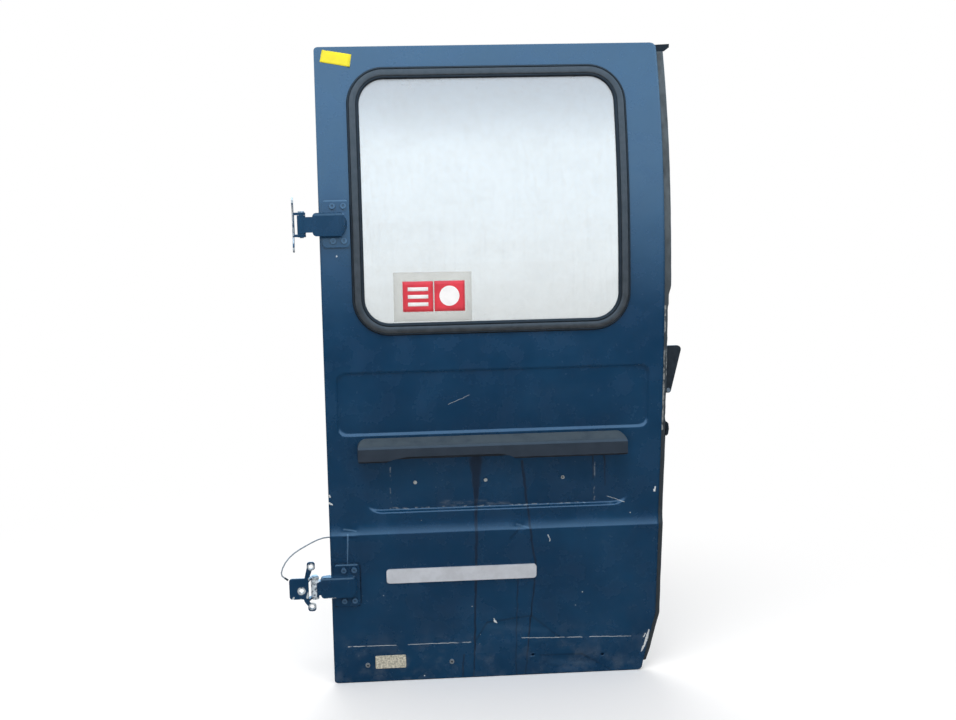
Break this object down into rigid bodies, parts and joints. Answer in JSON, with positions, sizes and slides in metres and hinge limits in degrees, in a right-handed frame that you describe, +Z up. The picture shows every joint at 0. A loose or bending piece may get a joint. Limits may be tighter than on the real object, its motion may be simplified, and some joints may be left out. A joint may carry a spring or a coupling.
{
  "type": "van rear door, left leaf",
  "caption": "Left rear door of a panel van with fixed window, number-plate lamp garnish, outside hinges and an edge release lever.",
  "frame": {"origin": "centre of the mounting face of the upper hinge's body-side leaf", "axes": "+Z up the door, +X from the hinge edge to the free edge, +Y to the inside of the vehicle"},
  "size_m": [1.0102, 0.2073, 1.575],
  "materials": {
    "blue_paint": "weathered gloss",
    "inner_paint": "thin gloss",
    "glass": "clear",
    "black_rubber": "matt",
    "grey_filler": "satin",
    "black_plastic": "grained",
    "lamp_lens": "frosted",
    "pale_plastic": "matt",
    "silver_plastic": "satin",
    "foam": "torn",
    "zinc_steel": "zinc plated",
    "leaf_paint": "worn",
    "wire_grey": "satin"
  },
  "bodies": {
    "upper_leaf_body": {"upper_leaf": "leaf_paint", "upper_pin": "zinc_steel"},
    "door": {"outer_skin": "blue_paint", "window_surround": "inner_paint", "inner_panel": "inner_paint", "window_glass": "glass", "window_seal": "black_rubber", "seal_filler_strip": "grey_filler", "edge_seal": "black_rubber", "edge_seal_end": "black_rubber", "plate_lamp_garnish": "black_plastic", "plate_lamps": "lamp_lens", "plate_plugs": "pale_plastic", "badge_strip": "silver_plastic", "foam_pad": "foam", "lower_screws": "zinc_steel", "upper_hinge_arm": "blue_paint", "upper_hinge_bolts": "blue_paint", "upper_hinge_reinforcement": "zinc_steel", "lower_hinge_arm": "blue_paint", "lower_hinge_bolts": "blue_paint", "lower_hinge_reinforcement": "zinc_steel", "lock_case": "zinc_steel", "lever_bracket": "zinc_steel", "lever_pin": "zinc_steel", "top_rod": "zinc_steel", "bottom_rod": "zinc_steel", "top_catch": "zinc_steel", "bottom_catch": "zinc_steel", "rod_guides": "black_plastic", "edge_wedge": "black_rubber", "loom_grommet": "black_rubber", "loom_wire": "wire_grey", "loom_end": "black_rubber"},
    "lower_leaf_body": {"lower_leaf": "leaf_paint", "lower_pin": "zinc_steel"},
    "lever": {"release_lever": "black_plastic"}
  },
  "joints": [
    {"name": "door_swing", "type": "hinge", "parent": "upper_leaf_body", "child": "door", "pos_m": [0.018, -0.033, 0], "axis": [0, 0, -1], "range_deg": [0, 180]},
    {"name": "lower_leaf_turn", "type": "hinge", "parent": "door", "child": "lower_leaf_body", "pos_m": [0.018, -0.033, -0.894], "axis": [0, 0, 1], "range_deg": [-90, 90]},
    {"name": "release_lever_turn", "type": "hinge", "parent": "door", "child": "lever", "pos_m": [0.917, -0.041, -0.429], "axis": [0, 1, 0], "range_deg": [0, 30], "stiffness_Nm_per_rad": 0.5}
  ]
}
